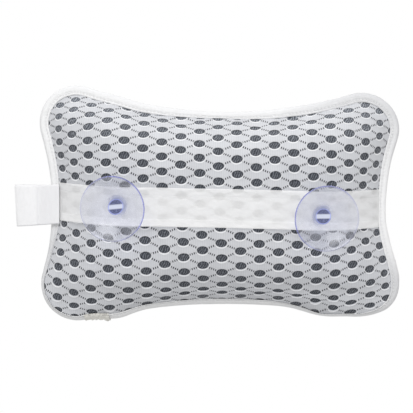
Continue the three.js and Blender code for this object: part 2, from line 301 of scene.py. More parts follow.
def inflateCloth(slid):
    mesh = meshFrom(newGrid(cloth["columns"], cloth["rows"]), "panelCloth")
    start = slid.reshape(-1, 3) * np.array([1, 1, cloth["startShare"]])
    mesh.vertices.foreach_set("co", (start * mm).ravel())
    sheet = addObject("panelCloth", mesh)
    held = sheet.vertex_groups.new(name="held")
    edge = np.nonzero(crownShare(start[:, 0], start[:, 1]) < cloth["heldShare"])[0]
    held.add([int(i) for i in edge], 1, "REPLACE")
    blowUp(sheet, cloth["pressure"], cloth["frames"], quality=cloth["quality"], vertex_group_mass="held")
    blown = sheet.evaluated_get(bpy.context.evaluated_depsgraph_get()).data
    found = np.zeros(len(start) * 3)
    blown.vertices.foreach_get("co", found)
    scene.frame_set(1)
    bpy.data.objects.remove(sheet)
    return found.reshape(slid.shape) / mm


def settleCloth(back):
    place = slideCloth(back)
    blown = inflateCloth(place)
    blown[..., 2] *= place[..., 2].max() / blown[..., 2].max()  # filled out to its measured crown
    crown = crownHeight(blown[..., 0], blown[..., 1], back)
    blown[..., 2] = np.clip(blown[..., 2], crown - cloth["fall"], crown + cloth["swell"])
    place = blown
    across, up = crownFall(place[..., 0], place[..., 1])
    outside = (across < cloth["heldShare"]) | (up < cloth["heldShare"])
    drop = np.maximum(-pillow["backCrown"] * np.abs(across * up), -cloth["runOn"])
    place[..., 2] = np.where(outside, drop, place[..., 2])  # runs on, so the fold at the tape is crisp
    return place


panels = {"back": settleCloth(True), "front": settleCloth(False)}
print("panel cloth settled, crown", round(float(panels["back"][..., 2].max()), 1), "mm")


def panelPlace(side, flat):
    here = sampleGrid(panels[side], flat, cloth["cell"])
    here[:, 2] = np.maximum(here[:, 2], 0)
    return here


edgeLine, edgeInward, edgeStep = edgePath(0, 0.5)
edgeTree = kdtree.KDTree(len(edgeLine))
for index, (x, y) in enumerate(edgeLine):
    edgeTree.insert((x, y, 0), index)
edgeTree.balance()


def nearEdge(places):
    # inset from the edge, inward direction and run along the edge at places near it
    found = np.array([edgeTree.find((x, y, 0))[1] for x, y, _ in places])
    inward = edgeInward[found]
    away = places[:, :2] - edgeLine[found]
    run = found * edgeStep + away[:, 0] * inward[:, 1] - away[:, 1] * inward[:, 0]
    return (away * inward).sum(1), inward, run


def angleAbout(places):
    # degrees about the middle of the pillow, with its outline drawn round
    return np.degrees(np.arctan2(places[:, 1] / pillow["halfHeight"], places[:, 0] / pillow["halfWidth"]))


# The bulge of the back hides more or less of the tape. Each row round it has the angle about the middle,
# the millimetres of cloth pushed out over the tape there, and those by which the rows of holes are drawn in
rim = {
    "fold": 2.4, "width": 7.5, "fade": 26, "crownBelow": 0.85, "lean": 4.0, "low": 85,
    "round": [
        (0, 0.4, 0.4), (30, -0.7, 0.2), (60, -1.0, 1.0), (90, 2.0, 3.0), (120, -0.5, 0.7), (150, -0.4, -0.3),
        (180, 0.3, 0.3), (191, 0.5, 0.4), (202, 2.8, 1.2), (214, 4.4, 1.0), (222, 3.6, 1.6), (230, 2.4, 2.2),
        (242, 2.4, 3.0), (270, 1.6, 4.2), (288, 2.0, 4.8), (296, 3.4, 6.2), (303, 4.4, 7.2), (310, 3.6, 3.6),
        (316, 0.8, 1.0), (324, -0.7, -0.6), (345, -0.3, -0.3),
    ],
}


def rollRim(places, drawn=False):
    moved = places.copy()
    near = np.nonzero(crownShare(places[:, 0], places[:, 1]) < rim["crownBelow"])[0]
    inset, inward, _ = nearEdge(places[near])
    angle, pushed, pulled = np.array(rim["round"]).T
    push = np.interp(angleAbout(places[near]), angle, pulled if drawn else pushed, period=360)
    gone = ramp(-inset, -rim["fade"], rim["fade"] - rim["width"])
    gone = gone ** 2 * (3 - 2 * gone)
    share = gone if drawn else gone * ramp(inset, rim["fold"], rim["width"] - rim["fold"])
    moved[near, :2] -= inward * (push * share)[:, None]
    low = np.clip(-places[near, 1] / rim["low"], 0, 1) ** 2  # the lower rim leans up against the bulge
    moved[near, 2] += rim["lean"] * low * np.clip(inset / rim["width"], 0, 1) * gone
    return moved


def clothPlace(side, flat, lift):
    # world place in millimetres of flat cloth places, raised outwards by lift
    step = cloth["liftStep"]
    here = panelPlace(side, flat)
    alongX = panelPlace(side, flat + [step, 0]) - panelPlace(side, flat - [step, 0])
    alongY = panelPlace(side, flat + [0, step]) - panelPlace(side, flat - [0, step])
    normal = np.cross(alongX, alongY)
    normal /= np.linalg.norm(normal, axis=1, keepdims=True)
    here = here + normal * lift[:, None]
    turn = 1 if side == "back" else -1
    here[:, 2] = pillow["seamHeight"] + turn * (pillow["rimStack"] + here[:, 2])
    if side == "back":
        here = rollRim(here)
    return taper(here)


# Shader helpers
def newGroup(name, inputs, outputs):
    # each socket as its label and Float or Vector
    tree = bpy.data.node_groups.new(name, "ShaderNodeTree")
    for way, sockets in (("INPUT", inputs), ("OUTPUT", outputs)):
        for label, kind in sockets:
            tree.interface.new_socket(name=label, in_out=way, socket_type="NodeSocket" + kind)
    return tree, tree.nodes.new("NodeGroupInput").outputs, tree.nodes.new("NodeGroupOutput").inputs


def feed(tree, value, socket):
    if isinstance(value, bpy.types.NodeSocket):
        tree.links.new(value, socket)
    elif socket.type == "RGBA":
        socket.default_value = (*value, 1)
    else:
        socket.default_value = value


def addNode(tree, kind, settings=None, **sockets):
    node = tree.nodes.new(kind)
    for key, value in (settings or {}).items():
        setattr(node, key, value)
    for key, value in sockets.items():
        feed(tree, value, node.inputs[key.replace("_", " ")])
    return node


def calc(tree, operation, *values):
    node = addNode(tree, "ShaderNodeMath", {"operation": operation})
    for value, socket in zip(values, node.inputs):
        feed(tree, value, socket)
    return node.outputs[0]


def times(tree, first, second):
    return calc(tree, "MULTIPLY", first, second)


def scaled(tree, value, share, start):
    return calc(tree, "MULTIPLY_ADD", value, share, start)


def ease(tree, value, low, high, toLow=0.0, toHigh=1.0):
    node = addNode(tree, "ShaderNodeMapRange", {"interpolation_type": "SMOOTHSTEP"},
                   Value=value, From_Min=low, From_Max=high, To_Min=toLow, To_Max=toHigh)
    return node.outputs["Result"]


def mixColour(tree, factor, first, second, blend="MIX"):
    node = addNode(tree, "ShaderNodeMix", {"data_type": "RGBA", "blend_type": blend})
    for value, socket in ((factor, 0), (first, 6), (second, 7)):
        feed(tree, value, node.inputs[socket])
    return node.outputs[2]


def mixShader(tree, factor, first, second):
    node = addNode(tree, "ShaderNodeMixShader", Fac=factor)
    tree.links.new(first.outputs[0], node.inputs[1])
    tree.links.new(second.outputs[0], node.inputs[2])
    return node


def newMaterial(name, **sockets):
    material = bpy.data.materials.new(name)
    material.use_nodes = True
    tree = material.node_tree
    shader = tree.nodes["Principled BSDF"]
    for key, value in sockets.items():
        shader.inputs[key.replace("_", " ")].default_value = value
    return material, tree, shader


def mask(tree, name, kind="Fac"):
    return addNode(tree, "ShaderNodeAttribute", {"attribute_name": name}).outputs[kind]


def cloud(tree, place, scale, detail):
    return addNode(tree, "ShaderNodeTexNoise", Vector=place, Scale=scale, Detail=detail).outputs["Fac"]


def objectPlace(tree):
    return addNode(tree, "ShaderNodeTexCoord").outputs["Object"]


def flatPlace(tree):
    # the piece's own flat map in millimetres, whole and as its two sides
    flat = addNode(tree, "ShaderNodeUVMap", {"uv_map": "flat"}).outputs["UV"]
    part = addNode(tree, "ShaderNodeSeparateXYZ", Vector=flat)
    return flat, part.outputs["X"], part.outputs["Y"]


def paint(tree, shader, factor, first, second):
    tree.links.new(mixColour(tree, factor, first, second), shader.inputs["Base Color"])


def emboss(tree, shader, height, depth):
    bump = addNode(tree, "ShaderNodeBump", Height=height, Distance=depth * mm, Strength=1.0)
    tree.links.new(bump.outputs["Normal"], shader.inputs["Normal"])


# Hole lattice of the knitted net in the flat cloth, millimetres and degrees. Each row of drift has the powers
# of x and y over the half panel, and the millimetres that the lattice moves across and up by it
net = {
    "across": 15.603, "up": 11.692, "tilt": -1.593, "lean": 2.907, "shift": (-0.07, 8.62),
    "holeAcross": 4.7, "holeUp": 3.05, "sides": 24, "lipFlat": 0.55, "lipLow": 0.45, "slitStop": 1.6,
    "lip": [(-0.05, -0.6), (0.0, -0.33), (0.05, -0.08), (0.22, 0.15), (0.6, 0.3), (1.15, 0.14), (1.8, 0.0)],
    "lipTop": 0.3, "pitDeep": 0.9, "aslantLit": (50, 32), "edgeInset": 3.4, "weld": 0.02, "columns": 13, "rows": 23,
    "slitPitch": 1.85, "slitReach": 0.78, "slitWidth": 0.8, "slitSoft": (0.15, 0.1),
    "walePitch": 1.9, "coursePitch": 0.8, "uneven": 0.3, "unevenScale": 0.11, "driftHalf": (150, 96),
    "drift": [
        (2, 0, 0.23, 1.59), (1, 1, -1.77, 2.17), (0, 2, 0.84, -2.46),
        (3, 0, -6.5, 0.35), (2, 1, 1.25, 0.44), (1, 2, 6.41, 3.59), (0, 3, 4.2, 0.3),
    ],
    "netArea": 0.75, "backingArea": 0.87, "backingDrop": 0.95, "backingRim": 0.65, "backingFull": 0.3,
}
tilt, lean = math.radians(net["tilt"]), math.radians(net["lean"])
stepAcross = net["across"] * np.array([math.cos(tilt), math.sin(tilt)])
stepUp = net["up"] * np.array([-math.sin(lean), math.cos(lean)])


def pullNet(flat):
    # the net was sewn in a little askew: slow drift of the lattice over the panel
    x, y = (flat / np.array(net["driftHalf"])).T
    moved = np.array(flat, float)
    for powerX, powerY, across, up in net["drift"]:
        moved += (x ** powerX * y ** powerY)[:, None] * np.array([across, up])
    scale = net["unevenScale"]
    odd = np.array([noise.noise_vector((u * scale, v * scale, 1.9)) for u, v in flat])[:, :2]
    limit = np.array([cloth["columns"], cloth["rows"]]) * cloth["cell"] / 2 - cloth["margin"]
    return np.clip(moved + odd * net["uneven"], -limit, limit)


def clothToneGroup():
    tree, given, out = newGroup("clothTone", [("Place", "Vector"), ("Scale", "Float"), ("Amount", "Float")],
                                [("Tone", "Float")])
    off = calc(tree, "SUBTRACT", cloud(tree, given["Place"], given["Scale"], 3.0), 0.5)
    tree.links.new(scaled(tree, off, given["Amount"], 1.0), out["Tone"])
    return tree


def fineRibGroup():
    tree, given, out = newGroup("fineRib", [("Place", "Float"), ("Pitch", "Float")], [("Rib", "Float")])
    wave = calc(tree, "SINE", times(tree, calc(tree, "DIVIDE", given["Place"], given["Pitch"]), fullTurn))
    tree.links.new(scaled(tree, wave, 0.5, 0.5), out["Rib"])
    return tree


def ladderGroup():
    # rows of small slits between neighbouring holes, from flat cloth places
    tree, given, out = newGroup("ladderKnit", [("Flat", "Vector")], [("Slit", "Float")])
    part = addNode(tree, "ShaderNodeSeparateXYZ", Vector=given["Flat"])
    u = calc(tree, "SUBTRACT", part.outputs["X"], net["shift"][0])
    v = calc(tree, "SUBTRACT", part.outputs["Y"], net["shift"][1])
    pitch, reach, wide = net["slitPitch"], net["slitReach"], net["slitWidth"] / 2
    acrossSoft, alongSoft = net["slitSoft"]
    ahead = 100  # steps added so that the fold back and forth starts below every place
    rows = []
    for turn in (1, -1):
        step = stepAcross + turn * 0.5 * stepUp
        heading = step / np.linalg.norm(step)
        spacing = abs(heading[0] * stepUp[1] - heading[1] * stepUp[0])
        along = calc(tree, "ADD", times(tree, u, heading[0]), times(tree, v, heading[1]))
        across = calc(tree, "SUBTRACT", times(tree, v, heading[0]), times(tree, u, heading[1]))
        off = calc(tree, "PINGPONG", calc(tree, "ADD", across, ahead * spacing), spacing / 2)
        beat = calc(tree, "PINGPONG", calc(tree, "ADD", along, ahead * pitch), pitch / 2)
        onRow = ease(tree, off, reach + acrossSoft, reach - acrossSoft)
        rows.append(times(tree, onRow, ease(tree, beat, wide + alongSoft, wide - alongSoft)))
    tree.links.new(calc(tree, "MAXIMUM", *rows), out["Slit"])
    return tree


groups = {"tone": clothToneGroup(), "rib": fineRibGroup(), "ladder": ladderGroup()}


def useGroup(tree, name, **sockets):
    return addNode(tree, "ShaderNodeGroup", {"node_tree": groups[name]}, **sockets).outputs[0]


def ribs(tree, place, pitch):
    return useGroup(tree, "rib", Place=place, Pitch=pitch)


def netMaterial():
    material, tree, shader = newMaterial("netWhite", Roughness=0.82, Sheen_Weight=0.15, Sheen_Roughness=0.5)
    flat, x, y = flatPlace(tree)
    courses = scaled(tree, ribs(tree, y, net["coursePitch"]), 0.5, 0.5)
    loops = times(tree, ribs(tree, x, net["walePitch"]), courses)
    knit = mixColour(tree, loops, (0.572, 0.582, 0.61), (0.632, 0.642, 0.67))
    # the rolled lips round the holes are painted lighter as a highlight
    lipHighlight = times(tree, ease(tree, mask(tree, "lip"), 0.2, 0.9), 0.9)
    litLip = mixColour(tree, lipHighlight, knit, (0.86, 0.865, 0.88))
    # the net where it dips into each hole is painted dark as shade
    shadedWalls = mixColour(tree, ease(tree, mask(tree, "pit"), 0.1, 0.8), litLip, (0.2, 0.21, 0.235))
    slits = times(tree, useGroup(tree, "ladder", Flat=flat), ease(tree, mask(tree, "near"), 0.95, 0.5))
    dark = mixColour(tree, slits, shadedWalls, (0.03, 0.032, 0.04))
    tone = useGroup(tree, "tone", Place=flat, Scale=0.05, Amount=0.24)
    shade = addNode(tree, "ShaderNodeCombineColor", Red=tone, Green=tone, Blue=tone).outputs["Color"]
    tree.links.new(mixColour(tree, 1.0, dark, shade, "MULTIPLY"), shader.inputs["Base Color"])
    emboss(tree, shader, calc(tree, "SUBTRACT", times(tree, loops, 0.12), slits), 0.35)
    return material


def backingMaterial():
    material, tree, shader = newMaterial("backingSlate", Roughness=0.85, Sheen_Weight=0.55, Sheen_Roughness=0.45)
    flat, x, y = flatPlace(tree)
    slant = scaled(tree, cloud(tree, flat, 0.35, 1.0), 3.0, scaled(tree, y, -0.45, x))
    wales = calc(tree, "POWER", ribs(tree, slant, 1.95), 1.6)
    loops = times(tree, wales, scaled(tree, ribs(tree, y, 2.7), 0.35, 0.65))
    loops = times(tree, loops, scaled(tree, cloud(tree, flat, 0.9, 2.0), 1.4, 0.3))
    aslantLit = mask(tree, "aslantLit")  # paler on the upper slope: the pale spacer yarn seen aslant there, and painted light falling into the upper holes
    deep = mixColour(tree, aslantLit, (0.03, 0.034, 0.044), (0.075, 0.085, 0.105))
    pale = mixColour(tree, aslantLit, (0.185, 0.2, 0.23), (0.42, 0.44, 0.48))
    paint(tree, shader, loops, deep, pale)
    emboss(tree, shader, loops, 0.3)
    return material


def tapeMaterial(name, shadow, light):
    material, tree, shader = newMaterial(name, Roughness=0.78, Sheen_Weight=0.2)
    flat, x, y = flatPlace(tree)
    weave = times(tree, scaled(tree, ribs(tree, x, 0.62), 0.6, 0.2), scaled(tree, ribs(tree, y, 0.7), 0.4, 0.6))
    tone = useGroup(tree, "tone", Place=flat, Scale=0.25, Amount=0.4)
    worn = times(tree, scaled(tree, weave, 0.45, 0.65), tone)
    # painted shade at the stitch holes and on the upper fold darkens the tape
    drawn = times(tree, worn, scaled(tree, mask(tree, "stitchFoldShade"), -0.5, 1.0))
    # the tape's corners are painted greyer as shade
    paint(tree, shader, calc(tree, "SUBTRACT", drawn, mask(tree, "cornerShade")), shadow, light)
    emboss(tree, shader, weave, 0.12)
    return material


def strapMaterial():
    material, tree, shader = newMaterial("strapSheer", Roughness=0.7, Sheen_Weight=0.15)
    flat, x, y = flatPlace(tree)
    weave = times(tree, ribs(tree, x, 0.42), ribs(tree, y, 0.42))
    tone = useGroup(tree, "tone", Place=flat, Scale=0.13, Amount=1.5)
    paint(tree, shader, times(tree, scaled(tree, weave, 0.3, 0.75), tone), (0.92, 0.922, 0.93), (1.0, 1.0, 1.0))
    cover = scaled(tree, mask(tree, "hem"), 0.08, 0.535)  # two faces of one thin cloth
    cover = times(tree, cover, scaled(tree, weave, 0.06, 0.97))
    shadow = tree.nodes.new("ShaderNodeLightPath").outputs["Is Shadow Ray"]  # light comes through the thin cloth
    tree.links.new(times(tree, cover, scaled(tree, shadow, -0.6, 1.0)), shader.inputs["Alpha"])
    emboss(tree, shader, weave, 0.06)
    return material


def webbingMaterial():
    material, tree, shader = newMaterial("webbingWhite", Roughness=0.7, Sheen_Weight=0.2)
    flat, x, y = flatPlace(tree)
    weave = times(tree, scaled(tree, ribs(tree, x, 1.1), 0.8, 0.2), scaled(tree, ribs(tree, y, 0.55), 0.3, 0.7))
    tone = useGroup(tree, "tone", Place=flat, Scale=0.2, Amount=0.25)
    worn = times(tree, scaled(tree, weave, 0.4, 0.65), tone)
    # the upper leg is painted greyer towards the root as shade
    rootShaded = times(tree, worn, scaled(tree, mask(tree, "root"), -0.35, 1.0))
    paint(tree, shader, rootShaded, (0.7, 0.7, 0.72), (0.93, 0.93, 0.94))
    emboss(tree, shader, weave, 0.1)
    return material


def spunMaterial(name, roughness, sheen, scale, detail, dark, light, depth):
    # loose yarn: sewing thread and stuffing fibre
    material, tree, shader = newMaterial(name, Roughness=roughness, Sheen_Weight=sheen)
    ply = cloud(tree, objectPlace(tree), scale, detail)
    paint(tree, shader, ply, dark, light)
    emboss(tree, shader, ply, depth)
    return material


# Head of a cup as it is seen bent through the floor of the cup, painted onto the floor: a pale hole as a painted
# reflection between two dark crescents of painted shade, with a painted blue ring and a painted shadow halo,
# millimetres
headLook = {"ring": 6.3, "band": (2.5, 1.2), "edge": (7.0, 6.6), "haloShadow": (11.5, 6.8)}


def headSeen(tree):
    # its painted reflection and shade colours and how much of them shows
    spot = mask(tree, "spot", "Vector")
    part = addNode(tree, "ShaderNodeSeparateXYZ", Vector=spot)
    level = addNode(tree, "ShaderNodeCombineXYZ", X=part.outputs["X"], Y=part.outputs["Y"])
    reach = addNode(tree, "ShaderNodeVectorMath", {"operation": "LENGTH"}, Vector=level.outputs["Vector"])
    reach = reach.outputs["Value"]
    band = ease(tree, calc(tree, "ABSOLUTE", part.outputs["Y"]), *headLook["band"])
    ring = ease(tree, calc(tree, "ABSOLUTE", calc(tree, "SUBTRACT", reach, headLook["ring"])), 0.7, 0.2)
    streak = ease(tree, cloud(tree, spot, 0.9, 2.0), 0.35, 0.7)
    seen = mixColour(tree, band, mixColour(tree, streak, (0.06, 0.07, 0.17), (0.15, 0.175, 0.34)), (0.68, 0.72, 0.87))
    seen = mixColour(tree, times(tree, ring, 0.75), seen, (0.36, 0.41, 0.85))
    seen = mixColour(tree, ease(tree, reach, 6.5, 6.9), seen, (0.3, 0.33, 0.52))
    # painted shadow halo round the head, stronger to one side
    haloShadow = times(tree, ease(tree, reach, *headLook["haloShadow"], 0.0, 0.75), mask(tree, "shade"))
    amount = calc(tree, "MAXIMUM", ease(tree, reach, *headLook["edge"], 0.0, 0.92), haloShadow)
    return seen, times(tree, amount, part.outputs["Z"])


def vinylMaterial():
    material, tree, shader = newMaterial("vinylClear", IOR=1.2, Transmission_Weight=0.92, Specular_IOR_Level=0.5)
    edge = mask(tree, "edge")
    haze = cloud(tree, objectPlace(tree), 90.0, 3.0)
    tree.links.new(ease(tree, haze, 0.3, 0.8, 0.1, 0.16), shader.inputs["Roughness"])
    # the lip's blue line is the plastic's tint, painted stronger where light catches the lip
    paint(tree, shader, edge, (0.95, 0.955, 0.99), (0.2, 0.22, 0.85))
    shadow = tree.nodes.new("ShaderNodeLightPath").outputs["Is Shadow Ray"]
    direct = calc(tree, "SUBTRACT", 1.0, shadow)
    outer = calc(tree, "SUBTRACT", 1.0, tree.nodes.new("ShaderNodeNewGeometry").outputs["Backfacing"])
    passing = addNode(tree, "ShaderNodeBsdfTransparent", Color=(0.943, 0.947, 0.972))
    body = mixShader(tree, calc(tree, "MAXIMUM", scaled(tree, edge, -0.8, 0.84), shadow), shader, passing)
    milk = times(tree, times(tree, outer, direct), ease(tree, haze, 0.32, 0.68, 0.07, 0.27))
    veil = addNode(tree, "ShaderNodeBsdfDiffuse", Color=(0.53, 0.55, 0.635))  # the plastic is a little milky
    body = mixShader(tree, milk, body, veil)
    seen, amount = headSeen(tree)
    # the head's painted reflection and shade, laid as a diffuse layer on the cup's floor
    knob = addNode(tree, "ShaderNodeBsdfDiffuse", Color=seen)
    body = mixShader(tree, times(tree, amount, direct), body, knob)
    gloss = addNode(tree, "ShaderNodeBsdfGlossy", Color=(1, 1, 1), Roughness=0.27)
    mirror = times(tree, addNode(tree, "ShaderNodeFresnel", IOR=1.5).outputs["Fac"], outer)
    body = mixShader(tree, times(tree, mirror, direct), body, gloss)
    tree.links.new(body.outputs["Shader"], tree.nodes["Material Output"].inputs["Surface"])
    return material


finishes = {
    "net": netMaterial(), "backing": backingMaterial(),
    "tape": tapeMaterial("tapeWhite", (0.64, 0.643, 0.66), (0.93, 0.93, 0.93)),
    "cream": tapeMaterial("tapeCream", (0.56, 0.545, 0.505), (0.9, 0.882, 0.83)),
    "strap": strapMaterial(), "webbing": webbingMaterial(),
    "thread": spunMaterial("threadWhite", 0.45, 0.2, 2600.0, 1.0, (0.72, 0.72, 0.72), (0.92, 0.92, 0.92), 0.05),
    "fibre": spunMaterial("fibreWhite", 0.95, 0.0, 180.0, 6.0, (0.62, 0.62, 0.6), (0.86, 0.86, 0.84), 2.0),
    "vinyl": vinylMaterial(),
}
print("finishes made:", len(finishes))


def addPiece(name, mesh, finish, body, node):
    mesh.polygons.foreach_set("use_smooth", np.ones(len(mesh.polygons), bool))
    piece = addObject(name, mesh)
    mesh.materials.append(finishes[finish])
    if body:
        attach(piece, body)
    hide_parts(node)
    return piece


def applyModifiers(piece):
    dressed = piece.evaluated_get(bpy.context.evaluated_depsgraph_get())
    mesh = bpy.data.meshes.new_from_object(dressed)
    piece.modifiers.clear()
    piece.data = mesh
    mesh.polygons.foreach_set("use_smooth", np.ones(len(mesh.polygons), bool))


def readPlaces(mesh):
    flat = np.zeros(len(mesh.vertices) * 3)
    mesh.vertices.foreach_get("co", flat)
    return flat.reshape(-1, 3)


def setPlaces(mesh, places):
    mesh.vertices.foreach_set("co", (np.asarray(places) * mm).ravel())
    mesh.update()


def setFlat(mesh, flat, around=None):
    # flat cloth places in millimetres as the piece's own map; around is the length of a closed ring
    corners = np.zeros(len(mesh.loops), int)
    mesh.loops.foreach_get("vertex_index", corners)
    places = flat[corners].copy()
    if around:
        count = np.zeros(len(mesh.polygons), int)
        mesh.polygons.foreach_get("loop_total", count)
        owner = np.repeat(np.arange(len(count)), count)
        high = np.full(len(count), -np.inf)
        np.maximum.at(high, owner, places[:, 0])
        places[:, 0] += around * (high[owner] - places[:, 0] > around / 2)
    layer = mesh.uv_layers.new(name="flat")
    layer.data.foreach_set("uv", places.ravel())


def setMask(mesh, name, values):
    layer = mesh.attributes.new(name, "FLOAT", "POINT")
    layer.data.foreach_set("value", np.asarray(values, np.float32))


# White knitted net: one hole with its rolled lip, repeated over the lattice and laid on the cloth
def drawNet(flat):
    # the rows of holes are drawn in from the edge where the cloth is pushed out over it
    pulled = pullNet(flat)
    level = np.column_stack([pulled, np.zeros(len(pulled))])
    return 2 * pulled - rollRim(level, drawn=True)[:, :2]


def asCut(flat):
    return flat


def trimFlat(bm, pull):
    # cloth that would pass under the tape's inner fold is cut off
    middles = np.array([face.calc_center_median()[:2] for face in bm.faces])
    keep = insideEdge(pull(middles), net["edgeInset"])
    bmesh.ops.delete(bm, geom=[face for face, kept in zip(bm.faces, keep) if not kept], context="FACES")


def holeTile(bm):
    sides = net["sides"]
    border = [(0.5, 0), (0.5, 0.25)] + [(0.5 - k / 8, 0.5) for k in range(9)] + [(-0.5, 0.25), (-0.5, 0)]
    border += [(-p, -q) for p, q in border[1:-1]]
    near = bm.verts.layers.float.new("near")
    rings = [bmesh.ops.create_circle(bm, segments=sides, radius=1)["verts"]]
    edges = bm.edges[:]
    for _ in net["lip"]:
        made = bmesh.ops.extrude_edge_only(bm, edges=edges)["geom"]
        rings.append([part for part in made if isinstance(part, bmesh.types.BMVert)])
        edges = [part for part in made if isinstance(part, bmesh.types.BMEdge)]
    for (grow, rise), ring in zip(net["lip"], rings):
        for vert in ring:
            rolled = net["lipFlat"] - net["lipLow"] * vert.co.y if rise > 0 else 1  # fuller below the hole
            vert[near] = min(1, max(0, net["slitStop"] - grow))
            vert.co = ((net["holeAcross"] + grow) * vert.co.x, (net["holeUp"] + grow) * vert.co.y, rise * rolled)
    for vert in rings[-1]:
        p, q = border[round(math.atan2(vert.co.y, vert.co.x) * sides / fullTurn) % sides]
        vert.co = (*(p * stepAcross + q * stepUp), 0)


def netFlat():
    bm = bmesh.new()
    holeTile(bm)
    first = np.array(net["shift"]) - (net["columns"] - 1) * stepAcross - (net["rows"] - 1) / 2 * stepUp
    bmesh.ops.translate(bm, verts=bm.verts, vec=(*first, 0))
    tile = addObject("hole", meshFrom(bm, "hole"))
    for count, step in ((net["rows"], stepUp), (net["columns"], 2 * stepAcross)):
        rows = tile.modifiers.new("rows", "ARRAY")
        rows.count = count
        rows.use_relative_offset = False
        rows.use_constant_offset = True
        rows.constant_offset_displace = (*step, 0)
    applyModifiers(tile)
    bm = bmesh.new()
    bm.from_mesh(tile.data)
    tile.data.transform(Matrix.Translation((*(stepAcross + 0.5 * stepUp), 0)))
    bm.from_mesh(tile.data)  # the columns between stand half a step higher
    bpy.data.objects.remove(tile)
    bmesh.ops.remove_doubles(bm, verts=bm.verts, dist=net["weld"])
    trimFlat(bm, drawNet)
    bmesh.ops.recalc_face_normals(bm, faces=bm.faces)
    if sum(face.normal.z for face in bm.faces) < 0:
        bmesh.ops.reverse_faces(bm, faces=bm.faces)
    return bm


def netLift(places):
    return places[:, 2]


def backingFlat():
    bm = newGrid(cloth["columns"], cloth["rows"])
    grid = flatGrid(cloth["columns"], cloth["rows"], cloth["cell"]).reshape(-1, 2)
    for vert, (x, y) in zip(bm.verts, grid):
        vert.co = (x, y, 0)
    trimFlat(bm, asCut)
    return bm


def backingLift(places):
    share = np.clip(crownShare(places[:, 0], places[:, 1]) / net["backingFull"], 0, 1)
    return -(net["backingRim"] + (net["backingDrop"] - net["backingRim"]) * share)


def layPanel(bm, side, name, lift, pull, finish, node):
    if side == "front":
        bmesh.ops.reverse_faces(bm, faces=bm.faces)
    mesh = meshFrom(bm, name)
    places = readPlaces(mesh)
    flat = places[:, :2].copy()
    setFlat(mesh, flat)
    setMask(mesh, "lip", np.clip(places[:, 2] / net["lipTop"], 0, 1))
    setMask(mesh, "pit", np.clip(-places[:, 2] / net["pitDeep"], 0, 1))
    laid = clothPlace(side, pull(flat), lift(places))
    # the backing is painted paler on the upper slope, partly as light falling into the upper holes
    setMask(mesh, "aslantLit", ramp(laid[:, 1], *net["aslantLit"]))
    setPlaces(mesh, laid)
    return addPiece(name, mesh, finish, "pillow", node)


for side in ("back", "front"):
    white = layPanel(netFlat(), side, side + "_net", netLift, drawNet, "net", side + "_face_net")
    dark = layPanel(backingFlat(), side, side + "_backing", backingLift, asCut,
                    "backing", side + "_ground")
    print(side, "net faces", len(white.data.polygons), "backing faces", len(dark.data.polygons))

# Stuffing: the solid's form, evened out and blown up a little inside the panels
stuffing = {"voxel": 5, "pressure": 4, "frames": 12, "cap": 1.2, "fill": 0.85}


def makeFilling():
    bm = bmesh.new()
    bm.from_mesh(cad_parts["filling_core"].data)
    bmesh.ops.remove_doubles(bm, verts=bm.verts, dist=1e-6)
    piece = addPiece("filling", meshFrom(bm, "filling"), "fibre", "pillow", "filling_core")
    remesh = piece.modifiers.new("even", "REMESH")
    remesh.mode = "VOXEL"
    remesh.voxel_size = stuffing["voxel"] * mm
    applyModifiers(piece)
    start = readPlaces(piece.data)
    blowUp(piece, stuffing["pressure"], stuffing["frames"])
    applyModifiers(piece)
    scene.frame_set(1)
    move = readPlaces(piece.data) - start
    length = np.linalg.norm(move, axis=1, keepdims=True)
    move *= np.minimum(1, stuffing["cap"] * mm / np.maximum(length, 1e-9))
    setPlaces(piece.data, (start + move) / mm)


makeFilling()
print("filling made")

# Folded tape round the edge, spun arc by arc. Its inner edge and its stitched dip have rows of inset and share of
# the reach; the corners painted greyer as shade have rows of angle about the middle and share
tape = {
    "width": 7.5, "reach": 3.85, "thickness": 0.8, "round": 2.4, "step": 1.1, "weld": 0.005,
    "edgeDrop": 0.6, "innerEdge": [(0.25, 0.9), (0.9, 1.0), (1.5, 0.98)], "dip": [(5.4, 0.94), (4.6, 1.0), (3.4, 1.03)],
    "stitchInset": 5.4, "stitchPitch": 3.1, "stitchDip": 0.34, "dipWide": 0.8, "dipAbove": 3.2,
    "ripple": 0.16, "rippleFull": 3, "sway": 0.3, "flutter": 0.1,
    "stitchShadeWide": 0.9, "crest": 0.7, "crestPast": 0.6, "crestRun": 1.5, "crestHigh": 60,
    "cornerShade": [
        (15, 0.0), (28, 0.3), (40, 0.52), (52, 0.45), (68, 0.0), (183, 0.0), (194, 0.45),
        (202, 0.7), (214, 0.55), (228, 0.15), (305, 0.15), (318, 0.5), (326, 0.7), (338, 0.0),
    ],
}


def foldArc(bend, reach, steps):
    turns = [k / steps * quarterTurn for k in range(steps + 1)]
    return [(tape["round"] - bend * math.sin(turn), reach * math.cos(turn)) for turn in turns]


def bothLegs(upper):
    return upper + [(inset, -height) for inset, height in reversed(upper[:-1])]


def tapeSection(grow, width):
    # closed section as inset from the edge and height from the seam
    reach, bend, thick = tape["reach"] + grow, tape["round"] + grow, tape["thickness"]
    outside = [(width, reach - tape["edgeDrop"])]
    outside += [(width - inset, reach * rise) for inset, rise in tape["innerEdge"]]
    outside += [(inset, reach * rise) for inset, rise in tape["dip"]] + foldArc(bend, reach, 8)
    inside = [(width, reach - thick)] + foldArc(bend - thick, reach - thick, 4)
    return bothLegs(outside) + bothLegs(inside)[::-1]


